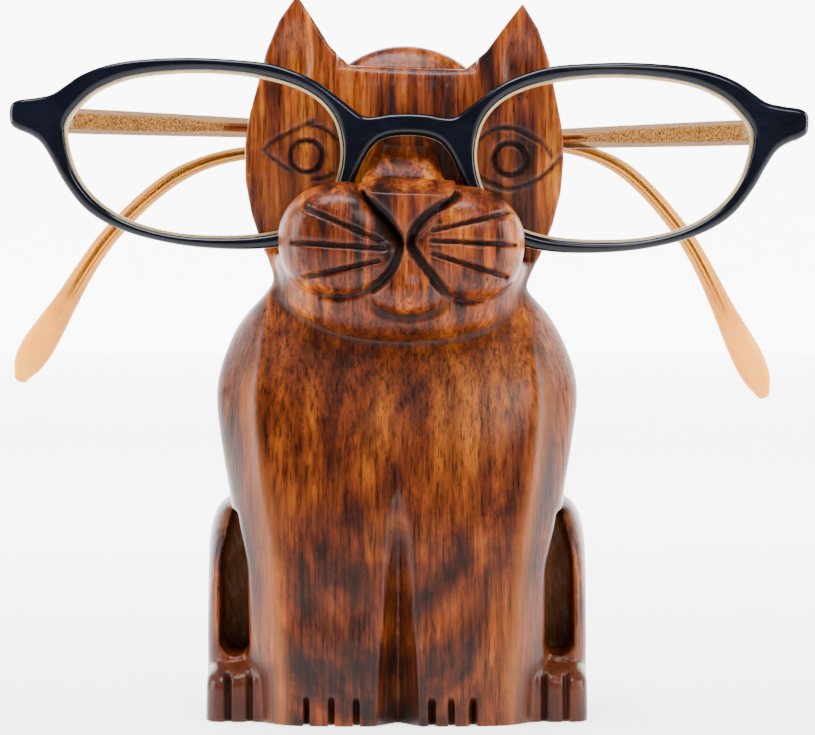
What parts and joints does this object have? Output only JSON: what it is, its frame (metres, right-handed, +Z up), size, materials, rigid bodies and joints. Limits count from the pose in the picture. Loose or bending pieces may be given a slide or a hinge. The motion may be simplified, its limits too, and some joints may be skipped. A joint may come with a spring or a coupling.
{
  "type": "eyeglasses display stand",
  "caption": "Carved wooden cat stand that holds folded eyeglasses on its nose, with the rims in slots behind the cheeks and the temples round the back of the head.",
  "frame": {"origin": "on the flat underside, at the middle of the cat", "axes": "+Z up; the cat looks along -Y; +X to the right of somebody looking at its face"},
  "size_m": [0.1393, 0.0694, 0.1236],
  "materials": {
    "rosewood": "satin hand-carved rosewood with dark figure",
    "navy_acetate": "polished near-black navy acetate",
    "cream_acetate": "polished cream acetate",
    "clear_lens": "clear polished lens",
    "amber_acetate": "translucent champagne to amber acetate",
    "gold_metal": "gold-plated metal, stippled on the temple core"
  },
  "bodies": {
    "stand": {"carved_cat": "rosewood"},
    "glasses_front": {"frame_front": "navy_acetate", "frame_back_layer": "cream_acetate", "lens_left": "clear_lens", "lens_right": "clear_lens", "hinge_front_left": "gold_metal", "hinge_front_right": "gold_metal", "hinge_screw_left": "gold_metal", "hinge_screw_right": "gold_metal"},
    "left_temple": {"temple_left": "amber_acetate", "core_wire_left": "gold_metal", "hinge_temple_left": "gold_metal"},
    "right_temple": {"temple_right": "amber_acetate", "core_wire_right": "gold_metal", "hinge_temple_right": "gold_metal"}
  },
  "joints": [
    {"name": "glasses_lift", "type": "slide", "parent": "stand", "child": "glasses_front", "axis": [0, 0, 1], "range_m": [0, 0.05]},
    {"name": "right_temple_hinge", "type": "hinge", "parent": "glasses_front", "child": "right_temple", "pos_m": [0.06676, -0.0012, 0.10077], "axis": [-0.0113, 0, -0.9999], "range_deg": [0, 81.5]},
    {"name": "left_temple_hinge", "type": "hinge", "parent": "glasses_front", "child": "left_temple", "pos_m": [-0.06263, -0.0012, 0.10283], "axis": [0.0113, 0, 0.9999], "range_deg": [0, 72]}
  ],
  "couplings": [
    {"joint": "left_temple_hinge", "follows": "right_temple_hinge", "ratio": 0.8834}
  ]
}
